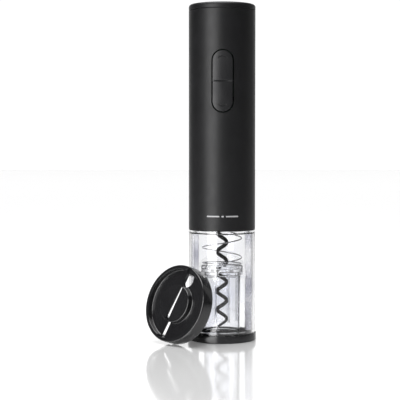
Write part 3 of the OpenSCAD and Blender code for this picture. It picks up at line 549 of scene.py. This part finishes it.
def cork_guide():
    bore = 12.5 * MM
    tube = bore + 1.3 * MM
    collar = 15.7 * MM
    top = GUIDE_HIGH.z
    bottom = GUIDE_LOW.z
    collar_z = top - 7.8 * MM
    hole, plate_z, plate_top = 6.6 * MM, collar_z + 2.3 * MM, collar_z + 4.3 * MM
    edge, shoulder, fillet, inner_fillet = 0.3 * MM, 1.6 * MM, 0.8 * MM, 0.6 * MM
    profile = [(bore, bottom + edge), (bore + edge, bottom), (tube - edge, bottom), (tube, bottom + edge)]
    profile += arc(tube + fillet, collar_z - fillet, fillet, 180, 90, 4)
    profile += [(collar - edge, collar_z), (collar, collar_z + edge)]
    profile += arc(collar - shoulder, top - shoulder, shoulder, 0, 90, 8)
    profile += [(bore + edge, top), (bore, top - edge)]
    profile += arc(bore - inner_fillet, plate_top + inner_fillet, inner_fillet, 0, -90, 3)
    profile += [(hole + edge, plate_top), (hole, plate_top - edge), (hole, plate_z + edge),
                (hole + edge, plate_z)]
    profile += arc(bore - inner_fillet, plate_z - inner_fillet, inner_fillet, 90, 0, 3)
    parts = [lathe(profile, steps=160)]
    reach, tab_w, tab_h, clear = GUIDE_HIGH.x, 2.2 * MM, 2.4 * MM, 0.06 * MM
    for side in (-1, 1):
        near, far = sorted((side * (tube + clear), side * reach))
        parts.append(block((near, -tab_w, collar_z - tab_h), (far, tab_w, collar_z - clear), 0.2 * MM))
    ribs, rib_w = 8, 0.5 * MM
    for i in range(ribs):
        rib = block((bore - 0.7 * MM, -rib_w, bottom + 8 * MM),
                    (bore - 0.04 * MM, rib_w, plate_z - 0.7 * MM), 0.15 * MM)
        bmesh.ops.rotate(rib, verts=rib.verts, cent=(0, 0, 0),
                         matrix=Matrix.Rotation((i + 0.5) * 2 * pi / ribs, 3, "Z"))
        parts.append(rib)
    piece("cork_guide_clear", join(*parts), CLEAR_GUIDE, "guide", "clear_plastic",
          "cork_guide", "guide_plate")


# ---- Worm and spring ----

def worm_helix():
    wire, outer, pitch, taper = 1.5 * MM, 5 * MM, 14.65 * MM, 16 * MM
    tip_z = corner_low("worm").z
    end_z = corner_high("worm").z
    hub_z = corner_low("worm_hub").z
    bend_z, axis_z = hub_z - 7 * MM, hub_z - 0.6 * MM
    right_z = 16 * MM
    start = -2 * pi * (right_z - tip_z) / pitch
    steps, tip_share = 300, 0.05
    points, radii = [], []
    for i in range(steps + 1):
        z = tip_z + (end_z - tip_z) * i / steps
        bend = min(1, max(0, (z - bend_z) / (axis_z - bend_z)))
        r = (outer - wire) * (1 + cos(pi * bend)) / 2
        a = 2 * pi * (z - tip_z) / pitch + start
        points.append((r * cos(a), r * sin(a), z))
        radii.append(wire * (tip_share + (1 - tip_share) * sqrt(min(1, (z - tip_z) / taper))))
    helix = wire_object("worm_helix", points, radii, sides=6)
    finish_piece(helix, WORM_BLACK, "output", "worm_black", "worm", sharp=60)


def guide_spring():
    wire, r, pitch, phase = 0.45 * MM, 14.8 * MM, 14.7 * MM, 4.1 * MM
    low = corner_low("return_spring").z + wire
    high = corner_high("return_spring").z - wire
    closed = 2 * wire
    turns = (high - low - 2 * closed) / pitch + 2
    start = -2 * pi * phase / pitch
    steps = 360
    points = []
    for i in range(steps + 1):
        t = turns * i / steps
        if t < 1:
            rise = closed * t
        elif t > turns - 1:
            rise = high - low - closed * (turns - t)
        else:
            rise = closed + pitch * (t - 1)
        a = 2 * pi * t + start
        points.append((r * cos(a), r * sin(a), low + rise))
    spring = wire_object("guide_spring", points, [wire] * len(points), sides=3)
    finish_piece(spring, SPRING_STEEL, "housing", "spring_steel", "return_spring", sharp=60)
    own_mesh(spring)


# ---- Foil cutter ----

CUTTER_R = 29 * MM
HALF_T = 5.25 * MM
HINGE_Y = CUTTER_R - 2.8 * MM
LEAN, TURN, SLOT_TURN = radians(17.6), radians(43.4), radians(18.5)
CUTTER_TURN = (Matrix.Rotation(-TURN, 4, "Z") @ Matrix.Rotation(pi / 2 - LEAN, 4, "X")
               @ Matrix.Rotation(-SLOT_TURN, 4, "Z"))
HINGE_PLACE = Vector(joint("jaw_squeeze")["pos_m"])
CUTTER_PLACE = Matrix.Translation(HINGE_PLACE - CUTTER_TURN.to_3x3() @ Vector((0, HINGE_Y, 0))) @ CUTTER_TURN
WHEEL_AT = 18.1 * MM
WHEEL_ANGLE = radians(35)
WHEEL_SLOT_R, WHEEL_SLOT_HALF, WHEEL_PIN_R = 5 * MM, 0.7 * MM, 1.02 * MM
KNUCKLE_R, KNUCKLE_CLEAR_R, KNUCKLE_GAP = 2.5 * MM, 2.75 * MM, 0.25 * MM
WINDOW_HALF, WINDOW_OUT_Y, WINDOW_IN_Y = 4 * MM, -14.75 * MM, -11.7 * MM
SLOT_NARROW, SLOT_WIDE = 1.5 * MM, 4.2 * MM


def cutter_blank():
    """The whole cutter, before it is cut in two."""
    edge = 1 * MM
    boss_r, recess_r, rim_r = 14.25 * MM, 15.5 * MM, RING_R + 0.2 * MM
    floor = HALF_T - 4 * MM
    recess_top = floor - 1.4 * MM
    fillet = 0.8 * MM
    out = CUTTER_R - edge
    wall = 1.4 * MM
    profile = [(0, HALF_T - wall), (boss_r - wall, HALF_T - wall), (boss_r - wall, recess_top),
               (recess_r - fillet, recess_top)]
    profile += arc(recess_r - fillet, recess_top - fillet, fillet, 90, 0, 3)[1:]
    profile += [(recess_r, -HALF_T + 0.4 * MM), (recess_r + 0.4 * MM, -HALF_T)]
    profile += arc(out, -HALF_T + edge, edge, -90, 0, 5) + arc(out, HALF_T - edge, edge, 0, 90, 5)
    profile += arc(rim_r + 0.4 * MM, HALF_T - 0.4 * MM, 0.4 * MM, 90, 180, 3)
    profile += arc(rim_r - fillet, floor + fillet, fillet, 0, -90, 4)
    profile += arc(boss_r + fillet, floor + fillet, fillet, 270, 180, 4)
    profile += arc(boss_r - 0.9 * MM, HALF_T - 0.9 * MM, 0.9 * MM, 0, 90, 5)
    profile += [(0, HALF_T)]
    return lathe(profile, closed=False, steps=FINE)


def jaw_outline(side):
    """What one jaw keeps of the blank. The left jaw's rim ends in a tongue that laps the slot."""
    far = CUTTER_R + 5 * MM
    tongue_r, reach = (CUTTER_R - 2 * MM, 3.6 * MM) if side < 0 else (CUTTER_R - 2.4 * MM, 7.4 * MM)
    spread = (SLOT_WIDE - SLOT_NARROW) / 2 / (HINGE_Y + far)
    edge_x = SLOT_NARROW / 2 + spread * (HINGE_Y + tongue_r)
    start, end = side * edge_x, reach
    steps = 16
    lap = [start + (end - start) * i / steps for i in range(steps + 1)]
    return ([(side * SLOT_NARROW / 2, far), (side * SLOT_NARROW / 2, HINGE_Y)]
            + [(x, -sqrt(tongue_r ** 2 - x ** 2)) for x in lap]
            + [(reach, -far), (side * far, -far), (side * far, far)])


def leaf_outline():
    """The leaf-shaped relief below the hinge."""
    wide, tall = 7.7 * MM, 10 * MM
    centre_y = HINGE_Y - 2.5 * MM - tall / 2 + 1.2 * MM
    r, off = tall / 2 + 1.5 * MM, tall / 2 - wide / 2 + 1 * MM
    sweep = degrees(atan2(sqrt(r * r - off * off), off))
    return (arc(-off, centre_y, r, -sweep, sweep, 14)
            + arc(off, centre_y, r, 180 - sweep, 180 + sweep, 14)[1:-1])


def local_rod(x, y, low, high, r, steps=48):
    return rod((x, y, low), (x, y, high), r, steps)


def jaw(name, side, own, other, body, *replaced):
    obj = loose_object(name, cutter_blank())
    over = HALF_T + MM
    carve(obj, column(jaw_outline(side), -over, over), operation="INTERSECT")
    floor = HALF_T - 5.4 * MM
    wheel_z = (floor - HALF_T) / 2
    channel = 8 * MM
    tools = [column(leaf_outline(), -over, over), local_rod(0, HINGE_Y, -over, over, KNUCKLE_CLEAR_R),
             block((-channel, -RING_R, -over), (channel, HINGE_Y - 3.7 * MM, floor)),
             block((-WINDOW_HALF, WINDOW_OUT_Y, floor + 1.45 * MM),
                   (WINDOW_HALF, WINDOW_IN_Y, HALF_T - 1.4 * MM))]
    for s in (-1, 1):
        x = side * WHEEL_AT * cos(WHEEL_ANGLE)
        y = side * s * WHEEL_AT * sin(WHEEL_ANGLE)
        tools.append(local_rod(x, y, wheel_z - WHEEL_SLOT_HALF, wheel_z + WHEEL_SLOT_HALF, WHEEL_SLOT_R))
        tools.append(local_rod(x, y, -over, floor, WHEEL_PIN_R, 24))
    carve(obj, *tools)
    round_edges(obj, 0.22 * MM, 2, 50)
    knuckles = []
    for low, high in own:
        knuckles.append(local_rod(0, HINGE_Y, low, high, KNUCKLE_R))
        x0, x1 = sorted((0, side * 5.5 * MM))
        knuckles.append(block((x0, HINGE_Y - 1.8 * MM, low), (x1, HINGE_Y + 1.6 * MM, high)))
    whole = bmesh.new()
    whole.from_mesh(obj.data)
    add_parts(whole, knuckles)
    whole.to_mesh(obj.data)
    whole.free()
    for low, high in other:
        carve(obj, local_rod(0, HINGE_Y, low - KNUCKLE_GAP, high + KNUCKLE_GAP, KNUCKLE_CLEAR_R))
    obj.data.transform(CUTTER_PLACE)
    finish_piece(obj, GLOSS_BLACK, body, "cutter_black", *replaced, sharp=30)


def foil_cutter():
    end, split = HALF_T - 0.3 * MM, 1.85 * MM
    outer = [(-end, -split), (split, end)]
    middle = [(-0.6 * MM, 1.6 * MM)]
    jaw("jaw_left", -1, outer, middle, "cutter", "cutter_jaw_fixed")
    jaw("jaw_right", 1, middle, outer, "cutter_jaw", "cutter_jaw_moving")


# ---- Carried-over pieces ----

NODE_FINISHES = {
    BLACK_STEEL: ["rocker_pin", "board_screws"],
    STEEL: ["motor_can", "motor_screws", "motor_shaft", "gearbox_cover", "gearbox_screws", "carrier_1",
            "carrier_2", "hub_set_screw", "battery_contacts", "lid_contact_plate", "cutter_hinge_pin",
            "cutter_wheel_1", "cutter_wheel_2", "cutter_wheel_3", "cutter_wheel_4",
            "wheel_pins_fixed", "wheel_pins_moving"],
    SPRING_STEEL: ["battery_springs", "cutter_spring"],
    DARK_PLASTIC: ["battery_box", "switch_up", "switch_down", "motor_end_cap", "front_bulkhead", "worm_hub"],
    NYLON: ["plunger_up", "plunger_down", "gearbox_housing", "thrust_washer", "planet_1a", "planet_1b",
            "planet_1c", "planet_2a", "planet_2b", "planet_2c"],
    BRASS: ["output_bush"],
    COPPER: ["armature"],
    MAGNET: ["motor_magnets"],
    BOARD_GREEN: ["circuit_board"],
    CELL_WRAP: ["cell_1", "cell_2", "cell_3", "cell_4"],
    RUBBER: ["lid_seal"],
    WIRE_RED: ["wires"],
}


def finish_nodes():
    for material, names in NODE_FINISHES.items():
        for name in names:
            mesh = frame["nodes"][name].data
            mesh.materials.clear()
            mesh.materials.append(material)


# ---- Floor, lights and camera ----

def studio_floor():
    bm = bmesh.new()
    bmesh.ops.create_grid(bm, x_segments=1, y_segments=1, size=6,
                          matrix=Matrix.Translation((0, 0, -0.05 * MM)))
    floor = loose_object("studio_floor", bm)
    material, tree, shader = new_material("white_gloss_floor", Roughness=0.1, Metallic=0.4)
    add_ramp(tree, object_noise(tree, 3, 1), shader.inputs["Base Color"], 0.98, 0.99)
    shader.inputs["Emission Color"].default_value = (1, 1, 1, 1)
    shader.inputs["Emission Strength"].default_value = 0.08
    floor.data.materials.append(material)


def area_light(name, place, target, width, height, power):
    data = bpy.data.lights.new(name, "AREA")
    data.shape = "RECTANGLE"
    data.size = width
    data.size_y = height
    data.energy = power
    lamp = link_object(name, data)
    lamp.location = place
    lamp.visible_camera = False
    lamp.rotation_euler = (Vector(target) - Vector(place)).to_track_quat("-Z", "Y").to_euler()


def studio_world():
    """White to the eye all round. What the opener mirrors is darker in front than behind."""
    world = bpy.data.worlds.new("studio")
    bpy.context.scene.world = world
    world.use_nodes = True
    tree = world.node_tree
    background = tree.nodes["Background"]
    coords = tree.nodes.new("ShaderNodeTexCoord")
    parts = tree.nodes.new("ShaderNodeSeparateXYZ")
    ramp = tree.nodes.new("ShaderNodeMapRange")
    for key, value in (("From Min", 0.62), ("From Max", 0.93), ("To Min", 0.06), ("To Max", 1.0)):
        ramp.inputs[key].default_value = value
    rays = tree.nodes.new("ShaderNodeLightPath")
    most = tree.nodes.new("ShaderNodeMath")
    most.operation = "MAXIMUM"
    tree.links.new(coords.outputs["Generated"], parts.inputs["Vector"])
    tree.links.new(parts.outputs["Y"], ramp.inputs["Value"])
    tree.links.new(ramp.outputs["Result"], most.inputs[0])
    tree.links.new(rays.outputs["Is Camera Ray"], most.inputs[1])
    tree.links.new(most.outputs["Value"], background.inputs["Color"])
    background.inputs["Strength"].default_value = 1.05


def studio_camera():
    """A long lens in front of the opener, a little above its middle and looking slightly down."""
    lens_mm, sensor_mm, down = 108.4, 36, 2.66
    data = bpy.data.cameras.new("camera")
    data.sensor_width = sensor_mm
    data.lens = lens_mm
    camera = link_object("camera", data)
    camera.location = (-0.0166, -0.909, 0.1476)
    camera.rotation_euler = (radians(90 - down), 0, 0)
    bpy.context.scene.camera = camera


def studio():
    studio_floor()
    studio_world()
    studio_camera()
    middle = (0, 0, 0.13)
    area_light("key_softbox", (-0.57, -0.77, 0.26), middle, 0.6, 0.8, 9)
    area_light("rim_softbox", (0.75, 0.30, 0.25), middle, 0.25, 0.8, 0.2)
    area_light("top_softbox", (-0.1, -0.1, 1.3), middle, 1.2, 1.2, 24)
    bpy.context.scene.view_settings.view_transform = "Standard"


studio()
body_shell()
pivot_lugs()
printed_mark()
battery_lid()
rocker()
rocker_pivot()
sleeve()
ring_base()
cork_guide()
worm_helix()
guide_spring()
foil_cutter()
finish_nodes()
